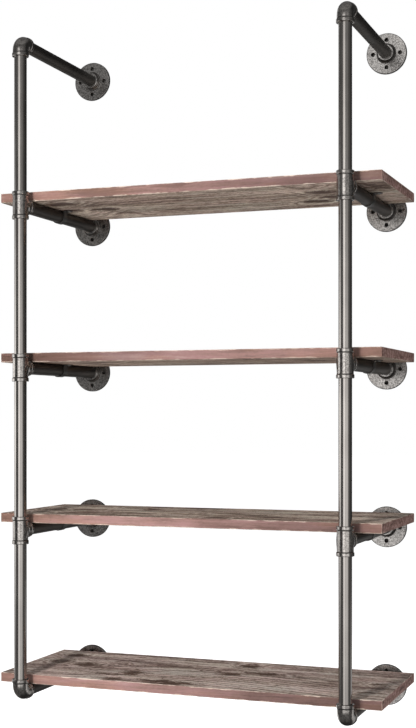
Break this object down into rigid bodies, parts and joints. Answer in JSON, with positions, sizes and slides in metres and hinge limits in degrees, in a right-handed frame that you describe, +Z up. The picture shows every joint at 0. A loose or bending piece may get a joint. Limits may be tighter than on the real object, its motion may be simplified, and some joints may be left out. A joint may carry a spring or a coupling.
{
  "type": "pipe shelving unit",
  "caption": "Wall-hung shelving unit: wooden boards lie on arms of threaded pipe that run back from pipe uprights to round wall flanges.",
  "frame": {"origin": "on the wall's face, midway between the two lowest wall flanges and level with their centres", "axes": "+X to the right along the boards as seen from the room, +Y into the wall, +Z up"},
  "size_m": [0.848, 0.383, 1.484],
  "materials": {
    "upright_pipe": "dark steel under clear lacquer, with long bright reflections",
    "arm_pipe": "near-black lacquered steel",
    "fitting": "dark lacquered malleable iron, softly glossy",
    "flange": "grained dark grey casting, matt",
    "strap": "black lacquered strip steel",
    "screw": "blackened steel",
    "board": "weathered grey-brown faces and reddish edges, matt"
  },
  "bodies": {
    "root": {"left_bottom_elbow": "fitting", "left_top_elbow": "fitting", "left_tee_2": "fitting", "left_tee_3": "fitting", "left_tee_4": "fitting", "left_upright_pipe_1": "upright_pipe", "left_strap_1": "strap", "left_upright_pipe_2": "upright_pipe", "left_strap_2": "strap", "left_upright_pipe_3": "upright_pipe", "left_strap_3": "strap", "left_upright_pipe_4": "upright_pipe", "left_strap_4": "strap", "left_arm_pipe_1": "arm_pipe", "left_wall_flange_1": "flange", "left_arm_pipe_2": "arm_pipe", "left_wall_flange_2": "flange", "left_arm_pipe_3": "arm_pipe", "left_wall_flange_3": "flange", "left_arm_pipe_4": "arm_pipe", "left_wall_flange_4": "flange", "left_arm_pipe_5": "arm_pipe", "left_wall_flange_5": "flange", "right_bottom_elbow": "fitting", "right_top_elbow": "fitting", "right_tee_2": "fitting", "right_tee_3": "fitting", "right_tee_4": "fitting", "right_upright_pipe_1": "upright_pipe", "right_strap_1": "strap", "right_upright_pipe_2": "upright_pipe", "right_strap_2": "strap", "right_upright_pipe_3": "upright_pipe", "right_strap_3": "strap", "right_upright_pipe_4": "upright_pipe", "right_strap_4": "strap", "right_arm_pipe_1": "arm_pipe", "right_wall_flange_1": "flange", "right_arm_pipe_2": "arm_pipe", "right_wall_flange_2": "flange", "right_arm_pipe_3": "arm_pipe", "right_wall_flange_3": "flange", "right_arm_pipe_4": "arm_pipe", "right_wall_flange_4": "flange", "right_arm_pipe_5": "arm_pipe", "right_wall_flange_5": "flange", "shelf_board_1": "board", "strap_screws_1": "screw", "shelf_board_2": "board", "strap_screws_2": "screw", "shelf_board_3": "board", "strap_screws_3": "screw", "shelf_board_4": "board", "strap_screws_4": "screw"}
  },
  "joints": []
}
